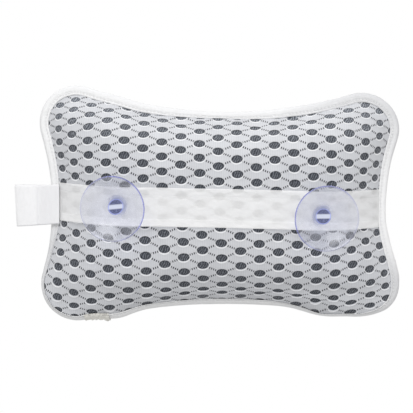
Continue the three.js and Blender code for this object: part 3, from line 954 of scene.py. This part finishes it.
def spinArc(section, arc, step):
    bm = bmesh.new()
    over = bm.verts.layers.float.new("over")  # length over the tape so far
    x, y, radius, start, end = arc
    verts = []
    total = 0.0
    for inset, height in section:
        reach = radius + inset if end < start else radius - inset
        place = (x + reach * math.cos(start), y + reach * math.sin(start), pillow["seamHeight"] + height)
        vert = bm.verts.new(place)
        if verts:
            total += (vert.co - verts[-1].co).length
        vert[over] = total
        verts.append(vert)
    edges = [bm.edges.new(pair) for pair in zip(verts, verts[1:] + verts[:1])]
    steps = max(2, round(abs(end - start) * radius / step))
    bmesh.ops.spin(bm, geom=verts + edges, cent=(x, y, 0), axis=(0, 0, 1), angle=end - start, steps=steps)
    return meshFrom(bm, "arc")


def stitchBeat(run):
    return 0.5 + 0.5 * np.cos(fullTurn * run / tape["stitchPitch"])


def tapeMesh(name, section, arcs, step, closed, shape):
    bm = bmesh.new()
    for arc in arcs:
        bm.from_mesh(spinArc(section, arc, step))
    if closed:
        bmesh.ops.remove_doubles(bm, verts=bm.verts, dist=tape["weld"])
    else:
        bmesh.ops.holes_fill(bm, edges=[edge for edge in bm.edges if edge.is_boundary], sides=0)
    bmesh.ops.recalc_face_normals(bm, faces=bm.faces)
    over = bm.verts.layers.float["over"]
    across = np.array([vert[over] for vert in bm.verts])
    mesh = meshFrom(bm, name)
    places = readPlaces(mesh)
    inset, inward, run = nearEdge(places)
    flat = np.stack([run, across], -1)
    setFlat(mesh, flat, len(edgeLine) * edgeStep)
    outermost = ramp(-inset, -tape["round"] - tape["crestPast"], tape["crestRun"])
    crest = outermost * np.clip(places[:, 1] / tape["crestHigh"], 0, 1)  # the upper fold is in its own shade
    # the stitch row is painted darker as shade in the needle holes
    stitchFoldShade = hump(inset, tape["stitchInset"], tape["stitchShadeWide"]) * stitchBeat(run)
    setMask(mesh, "stitchFoldShade", np.maximum(stitchFoldShade, tape["crest"] * crest))
    # the corners are painted greyer as shade
    setMask(mesh, "cornerShade", np.interp(angleAbout(places), *np.array(tape["cornerShade"]).T, period=360))
    setPlaces(mesh, taper(shape(places, flat, inset, inward)))
    return mesh


def puckerTape(places, flat, inset, inward):
    height = places[:, 2] - pillow["seamHeight"]
    run, across = flat.T
    row = hump(inset, tape["stitchInset"], tape["dipWide"]) * (np.abs(height) > tape["dipAbove"])
    dip = tape["stitchDip"] * row * (0.5 + 0.5 * stitchBeat(run))
    wave = waves(run * 0.16, 3.1, across * 0.2)
    slow = waves(run * 0.035, 7.7, 0)
    ripple = tape["ripple"] * wave * np.clip(inset / tape["rippleFull"], 0, 1)
    moved = places.copy()
    moved[:, 2] += np.sign(height) * (ripple - dip)
    moved[:, :2] -= inward * (tape["sway"] * slow + tape["flutter"] * wave)[:, None]
    return np.where((height > 0)[:, None], moved + rollRim(places) - places, moved)


tapeRing = tapeMesh("edge_tape", tapeSection(0, tape["width"]), edgeArcs, tape["step"], True, puckerTape)
addPiece("edge_tape", tapeRing, "tape", "pillow", "edge_binding")
print("edge tape faces", len(tapeRing.polygons))

# Lapped end of the tape on the lower edge, crinkled
lap = {
    "length": 22, "width": 5.6, "grow": 0.9, "step": 0.7, "crinkle": 1.3, "bumpAt": -97.4, "bumpWide": 4.5, "bump": 0.9,
    "legFrom": 2, "legSink": 0.2, "foldSink": 0.15, "lean": 1.15,
}


def crinkleLap(places, flat, inset, inward):
    run, across = flat.T
    fold = waves(run * 0.42, across * 0.3, 5.5)
    fine = waves(run * 1.1, across * 0.8, 2.5)
    push = lap["crinkle"] * (fold + 0.5 * fine) + lap["bump"] * hump(places[:, 0], lap["bumpAt"], lap["bumpWide"])
    side = np.sign(places[:, 2] - pillow["seamHeight"]) * (inset > lap["legFrom"])
    moved = places.copy()
    moved[:, 2] += side * np.maximum(push, -lap["legSink"])
    moved[:, :2] -= inward * np.maximum(push * (inset <= tape["round"]), -lap["foldSink"])[:, None]
    moved[:, 2] += (rollRim(places) - places)[:, 2] * lap["lean"] * (side > 0)
    return moved


lapX, lapY, lapRadius, lapStart, _ = edgeArcs[6]  # the lower waist
lapArc = (lapX, lapY, lapRadius, lapStart, lapStart - lap["length"] / lapRadius)
lapEnd = tapeMesh("tape_lap", tapeSection(lap["grow"], lap["width"]), [lapArc], lap["step"], False, crinkleLap)
addPiece("tape_lap", lapEnd, "cream", "pillow", "binding_lap")
print("tape lap faces", len(lapEnd.polygons))

# Lockstitch rows through the tape, one low bead for each stitch
stitch = {"long": 1.25, "wide": 0.27, "deep": 0.22, "sink": 0.14, "skew": 0.06, "sides": 8, "rings": 5}


def stitchRow(name, turn, node):
    bm = bmesh.new()
    bmesh.ops.create_uvsphere(bm, u_segments=stitch["sides"], v_segments=stitch["rings"], radius=1)
    bmesh.ops.rotate(bm, verts=bm.verts, matrix=Matrix.Rotation(quarterTurn, 3, "Y"))
    bmesh.ops.scale(bm, verts=bm.verts, vec=(stitch["long"], stitch["wide"], stitch["deep"]))
    bead = meshFrom(bm, "bead")
    row = bmesh.new()
    line, inward, _ = edgePath(tape["stitchInset"], tape["stitchPitch"])
    height = pillow["seamHeight"] + turn * (tape["reach"] - stitch["sink"])
    for (x, y), (inX, inY) in zip(line, inward):
        heading = math.atan2(inX, -inY) + stitch["skew"]
        laid = bead.copy()
        laid.transform(Matrix.Translation((x, y, height)) @ Matrix.Rotation(heading, 4, "Z"))
        row.from_mesh(laid)
        bpy.data.meshes.remove(laid)
    mesh = meshFrom(row, name)
    places = readPlaces(mesh)
    setPlaces(mesh, taper(rollRim(places) if turn > 0 else places))
    addPiece(name, mesh, "thread", "pillow", node)
    print(name, "stitches", len(line))


stitchRow("needle_stitches", 1, "needle_thread")
stitchRow("bobbin_stitches", -1, "bobbin_thread")

# Thin strap across the back, hemmed along both edges, lifted over the heads of the cups
strap = {
    "width": 33, "hem": 6.6, "hemRise": 0.06, "hemSoft": 0.5, "thickness": 0.45, "clear": 0.75, "rise": 0.3,
    "slant": 1.05, "columns": 180, "rows": 34, "reach": 138.8, "edgeStep": 0.3, "foldStep": 0.25,
    "headRoom": 7.3, "liftSpread": 28, "liftFull": 0.2, "hole": 5.9, "holeSides": 48, "drill": 12,
    "sway": 0.5, "ripple": 0.5, "rippleLow": -0.6, "roll": 0.3, "rollWide": 0.5,
    "upperHem": -0.8, "lowerHem": 1.5, "tail": 18, "area": 0.72,
}
cup = {
    "radius": 27.5, "depth": 11.4, "floor": 2.9, "lip": 1.1, "neck": 5.6, "head": 7.2, "headHeight": 6, "hole": 4,
    "holeSides": 32, "play": 0.8, "strapHalf": 0.35, "lean": 9, "steps": 96, "weld": 0.002, "sharp": 40,
    "edgeIn": 1.5, "edgeRun": 0.8, "edgeDeep": 3, "edgeFacing": 0.6, "edgeSpread": 0.8, "edgeLeast": 0.4,
    "floorAbove": 2, "floorReach": 13, "shade": 0.35, "shadeSlope": 0.09, "shadeUp": 0.8,
    "headAside": 1.2, "headAbove": 1.1, "headTurn": 0.06, "left": (-87, 1.1, 64.463), "right": (87, -6.2, 64.472),
}
cupSides = {"left": -1, "right": 1}


def cupMatrix(side):
    tip = cupSides[side] * math.radians(cup["lean"])
    return Matrix.Translation(Vector(cup[side]) * mm) @ Matrix.Rotation(tip, 4, "Y")


def drillHole(piece, radius, depth, sides, laid):
    bm = bmesh.new()
    bmesh.ops.create_cone(bm, cap_ends=True, segments=sides, depth=depth * mm, radius1=radius * mm, radius2=radius * mm)
    bmesh.ops.transform(bm, matrix=laid, verts=bm.verts)
    drill = addObject("drill", meshFrom(bm, "drill"))
    cut = piece.modifiers.new("drill", "BOOLEAN")
    cut.object = drill
    cut.solver = "EXACT"
    applyModifiers(piece)
    bpy.data.objects.remove(drill)


def thicken(piece, thickness, offset):
    wall = piece.modifiers.new("wall", "SOLIDIFY")
    wall.thickness = thickness * mm
    wall.offset = offset
    applyModifiers(piece)


def strapMid(x):
    return strap["rise"] - x * math.tan(math.radians(strap["slant"]))


def strapHeight(x, y):
    y = y / lobeScale(x)
    crown = pillow["seamHeight"] + pillow["rimStack"] + crownHeight(x, y, True)
    lift = sum(hump(x, cup[side][0], strap["liftSpread"]) for side in cupSides)
    return crown + strap["clear"] + strap["headRoom"] * lift * np.clip(crownShare(x, y) / strap["liftFull"], 0, 1)


def makeStrap():
    edge, fold = strap["width"] / 2, strap["width"] / 2 - strap["hem"]
    upper = [fold - strap["foldStep"], fold + strap["foldStep"], edge - strap["edgeStep"], edge]
    known = [-place for place in reversed(upper)] + upper
    across = np.interp(np.linspace(-1, 1, strap["rows"] + 1), np.linspace(-1, 1, len(known)), known)
    along = np.linspace(-strap["reach"], strap["reach"], strap["columns"] + 1)
    x, v = [grid.ravel() for grid in np.meshgrid(along, across)]
    hem = np.clip((np.abs(v) - fold) / strap["hemSoft"] + 0.5, 0, 1)
    wave = waves(x * 0.05, v * 0.09, 4.2) + 0.5 * waves(x * 0.16, v * 0.05, 1.3)
    y = strapMid(x) + v + strap["sway"] * waves(x * 0.02, 9.1, 0)
    z = strapHeight(x, y) + strap["hemRise"] * hem + strap["ripple"] * np.maximum(wave, strap["rippleLow"])
    z -= strap["roll"] * ramp(np.abs(v), edge - strap["rollWide"], strap["rollWide"]) ** 2
    mesh = meshFrom(newGrid(strap["columns"], strap["rows"]), "strap")
    setFlat(mesh, np.stack([x, v], -1))
    setMask(mesh, "hem", np.where(v > 0, strap["upperHem"], strap["lowerHem"]) * hem)
    setPlaces(mesh, np.stack([x, y, z], -1))
    piece = addPiece("strap", mesh, "strap", "pillow", "back_strap")
    thicken(piece, strap["thickness"], -1)
    for side in cupSides:
        drillHole(piece, strap["hole"], strap["drill"], strap["holeSides"], cupMatrix(side))
    return piece


backStrap = makeStrap()
print("strap faces", len(backStrap.data.polygons))


# Clear suction cups, spun from one profile and drilled through the head
def smoothLine(points, count):
    points = np.array(points, float)
    ends = np.concatenate([[2 * points[0] - points[1]], points, [2 * points[-1] - points[-2]]])
    found = []
    for k in range(len(points) - 1):
        a, b, c, d = ends[k:k + 4]
        square, cube = 2 * a - 5 * b + 4 * c - d, 3 * b - a - 3 * c + d
        for t in np.linspace(0, 1, count, endpoint=False):
            found.append(0.5 * (2 * b + (c - a) * t + square * t ** 2 + cube * t ** 3))
    return np.array(found + [points[-1]])


def cupProfile():
    # distance from the axis and height, from under the head round to the middle of the floor
    radius, neck, head = cup["radius"], cup["neck"], cup["head"]
    base = cup["strapHalf"] + cup["play"]
    foot, top, lip = -base - cup["headHeight"], base + cup["depth"], radius - cup["lip"]
    knob = [(0, foot), (0.55 * head, foot + 0.05), (0.82 * head, foot + 0.5), (head - 0.25, foot + 1.5),
            (head, foot + 3.0), (head - 0.1, -base - 1.2), (head - 0.7, -base - 0.25), (neck + 0.3, -base)]
    outside = [(neck, 0.25 - base), (neck, base - 0.3), (neck + 0.5, base), (0.31 * radius, base + 0.5),
               (0.45 * radius, base + 1.7), (0.59 * radius, base + 3.4), (0.83 * radius, base + 7.6),
               (radius - 0.15, top - 0.8)]
    edge = [(radius, top - 0.45), (radius - 0.12, top - 0.1), (radius - 0.45, top), (lip + 0.25, top - 0.05)]
    inside = [(lip - 0.1, top - 0.4), (0.8 * radius, base + 9.4), (0.55 * radius, base + 5.8),
              (0.31 * radius, base + 3.6), (0.12 * radius, base + 3.0), (0, base + cup["floor"])]
    return np.concatenate([smoothLine(knob, 3), smoothLine(outside, 4), smoothLine(edge, 2), smoothLine(inside, 5)])


def makeCup(side):
    turn = cupSides[side]
    bm = bmesh.new()
    verts = [bm.verts.new((away, 0, height)) for away, height in cupProfile()]
    edges = [bm.edges.new(pair) for pair in zip(verts, verts[1:])]
    bmesh.ops.spin(bm, geom=verts + edges, cent=(0, 0, 0), axis=(0, 0, 1), angle=fullTurn,
                   steps=cup["steps"], use_merge=True)
    bmesh.ops.remove_doubles(bm, verts=bm.verts, dist=cup["weld"])
    bmesh.ops.recalc_face_normals(bm, faces=bm.faces)
    mesh = meshFrom(bm, "cup_" + side)
    places = readPlaces(mesh)
    x, y, height = places.T
    reach = np.linalg.norm(places[:, :2], axis=1)
    base = cup["strapHalf"] + cup["play"]
    facing = y * math.sin(cup["edgeFacing"]) - turn * x * math.cos(cup["edgeFacing"])
    facing = np.clip(0.5 + cup["edgeSpread"] * facing / np.maximum(reach, 0.1), 0, 1)
    line = ramp(reach, cup["radius"] - cup["edgeIn"], cup["edgeRun"]) * (height > base + cup["depth"] - cup["edgeDeep"])
    least = cup["edgeLeast"]  # blue line of the lip: the plastic's tint, painted strongest to the upper inner side as light caught in the lip
    setMask(mesh, "edge", line * (least + (1 - least) * facing))
    setMask(mesh, "shade", np.clip(cup["shade"] + cup["shadeSlope"] * (cup["shadeUp"] * y - turn * x), 0, 1))
    floor = (height > base + cup["floorAbove"]) & (reach < cup["floorReach"])
    aside = x + cup["headAside"] * turn  # the bend of light shifts the head as the cup leans
    above = y - cup["headAbove"] - cup["headTurn"] * (1 - turn) * aside
    spot = mesh.attributes.new("spot", "FLOAT_VECTOR", "POINT")
    spot.data.foreach_set("vector", np.stack([aside, above, floor], -1).astype(np.float32).ravel())
    setPlaces(mesh, places)
    piece = addPiece("cup_" + side + "_clear", mesh, "vinyl", None, "suction_cup_" + side)
    middle = Matrix.Translation((0, 0, -(base + cup["headHeight"] / 2) * mm))
    laid = middle @ Matrix.Rotation(quarterTurn, 4, "Y")
    drillHole(piece, cup["hole"] / 2, 4 * cup["head"], cup["holeSides"], laid)
    piece.data.transform(cupMatrix(side))
    piece.data.set_sharp_from_angle(angle=math.radians(cup["sharp"]))
    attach(piece, "cup_" + side)
    print("cup", side, "faces", len(piece.data.polygons))


for side in cupSides:
    makeCup(side)

# Webbing loop on the left seam, folded back on itself; its line has distance from the seam and height
loop = {
    "root": -138.3, "drop": 2.3, "height": 31.6, "width": 34, "thickness": 0.9, "along": 330, "across": 30,
    "reach": 37, "sag": 1.3, "short": 0.6, "skew": 0.05, "wander": 0.4, "rib": 1.1, "ribRise": 0.08,
    "bend": 17.5, "bendDip": 0.9, "bendWide": 1.8, "grey": (2, 3),
    "flare": 0.05, "flareFrom": (12, 26), "soft": 0.35, "softFrom": (8, 10),
    "line": [
        (0, 0.5), (5, 0.5), (9, 0.5), (14, 0.1), (20, -1.3), (26, -2.0), (32, -1.9), (36, -0.9), (37.5, 1.2),
        (36.6, 3.9), (32.5, 5.6), (26, 6.0), (19.5, 5.3), (13, 3.2), (8, 1.8), (4, 1.55), (0, 1.45),
    ],
}


def makeLoop():
    dense = smoothLine(loop["line"], 24)
    run = runAlong(dense)
    at = np.linspace(0, run[-1], loop["along"] + 1)
    line = np.stack([np.interp(at, run, dense[:, k]) for k in range(2)], -1)
    heading = np.gradient(line, axis=0)
    heading /= np.linalg.norm(heading, axis=1, keepdims=True)
    outward = np.stack([heading[:, 1], -heading[:, 0]], -1)
    bm = newGrid(loop["along"], loop["across"])
    if sum(face.normal.z for face in bm.faces) < 0:
        bmesh.ops.reverse_faces(bm, faces=bm.faces)
    share = np.linspace(-0.5, 0.5, loop["across"] + 1)
    index, v = [grid.ravel() for grid in np.meshgrid(np.arange(loop["along"] + 1), share * loop["width"])]
    s, out = at[index], line[index, 0]
    upper = index > loop["along"] / 2
    rib = loop["ribRise"] * np.cos(fullTurn * s / loop["rib"])
    soft = loop["soft"] * waves(s * 0.07, v * 0.06, 8.8) * ramp(out, *loop["softFrom"])
    crease = loop["bendDip"] * hump(out, loop["bend"], loop["bendWide"]) * upper
    place = line[index] + outward[index] * (rib + soft - crease)[:, None]
    cutBack = (loop["short"] - loop["skew"] * v) * np.clip(out / loop["reach"], 0, 1)
    x = loop["root"] - place[:, 0] + cutBack
    y = strapMid(loop["root"]) - loop["drop"] - loop["sag"] * out / loop["reach"]
    y = y + v * (1 + loop["flare"] * ramp(out, *loop["flareFrom"])) + loop["wander"] * waves(s * 0.05, 2.2, 6.1)
    mesh = meshFrom(bm, "loop")
    setFlat(mesh, np.stack([s, v], -1))
    past, fade = loop["grey"]
    # painted shade on the upper leg near the root
    setMask(mesh, "root", upper * ramp(-out, -loop["bend"] - past, fade))
    setPlaces(mesh, np.stack([x, y, loop["height"] + place[:, 1]], -1))
    piece = addPiece("loop_webbing", mesh, "webbing", None, "hanging_loop")
    thicken(piece, loop["thickness"], 0)
    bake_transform(piece, "pillow", "loop", start=(loop["root"] * mm, 0, 0.032), end=((loop["root"] - 4) * mm, 0, 0.032))
    print("loop faces", len(piece.data.polygons))


makeLoop()

# Pale floor, soft studio light and the camera at the photograph's angle; each light has its place, size and power
stage = {
    "floor": 1.6, "floorHeight": -0.0005, "sky": 0.58, "target": (0, 0, 0.03),
    "keyLight": ((-0.1, 0.95, 0.95), (1.2, 0.7), 11.5), "fillLight": ((0.2, -0.5, 1.3), (1.2, 1.2), 1.5),
    "distance": 1000, "pitch": 5.91, "roll": -0.25, "aside": (10.86, 1.54),
    "pixelsPerMm": 1.15, "frame": 413, "sensor": 36,
}


def makeFloor():
    floor = addObject("floor", meshFrom(newGrid(2, 2, stage["floor"]), "floor"))
    floor.location.z = stage["floorHeight"]
    material, tree, shader = newMaterial("floorPale", Roughness=0.9)
    paint(tree, shader, cloud(tree, objectPlace(tree), 4.0, 2.0), (0.8, 0.8, 0.8), (0.82, 0.82, 0.82))
    glow = addNode(tree, "ShaderNodeEmission", Color=(1, 1, 1), Strength=1.0)
    seen = tree.nodes.new("ShaderNodeLightPath").outputs["Is Camera Ray"]
    white = mixShader(tree, seen, shader, glow)  # the backdrop is blown out to white
    tree.links.new(white.outputs["Shader"], tree.nodes["Material Output"].inputs["Surface"])
    floor.data.materials.append(material)


def addLight(name):
    place, extent, power = stage[name]
    light = bpy.data.lights.new(name, "AREA")
    light.shape = "RECTANGLE"
    light.size, light.size_y = extent
    light.energy = power
    lamp = addObject(name, light)
    lamp.location = place
    lamp.rotation_mode = "QUATERNION"
    lamp.rotation_quaternion = (Vector(stage["target"]) - Vector(place)).to_track_quat("-Z", "Y")


def makeCamera():
    pitch, roll = math.radians(stage["pitch"]), math.radians(stage["roll"])
    back = (Matrix.Rotation(pitch, 3, "X") @ Matrix.Rotation(roll, 3, "Z")).transposed()
    eye = back @ Vector((-stage["aside"][0], -stage["aside"][1], stage["distance"]))
    eye.z += pillow["seamHeight"]
    data = bpy.data.cameras.new("camera")
    data.sensor_width = stage["sensor"]
    data.lens = stage["sensor"] * stage["pixelsPerMm"] * stage["distance"] / stage["frame"]
    camera = addObject("camera", data)
    camera.matrix_world = Matrix.Translation(eye * mm) @ back.to_4x4()
    scene.camera = camera


makeFloor()
addLight("keyLight")
addLight("fillLight")
world = bpy.data.worlds.new("studio")
world.use_nodes = True
world.node_tree.nodes["Background"].inputs["Color"].default_value = (1, 1, 1, 1)
world.node_tree.nodes["Background"].inputs["Strength"].default_value = stage["sky"]
scene.world = world
scene.view_settings.view_transform = "Standard"
makeCamera()
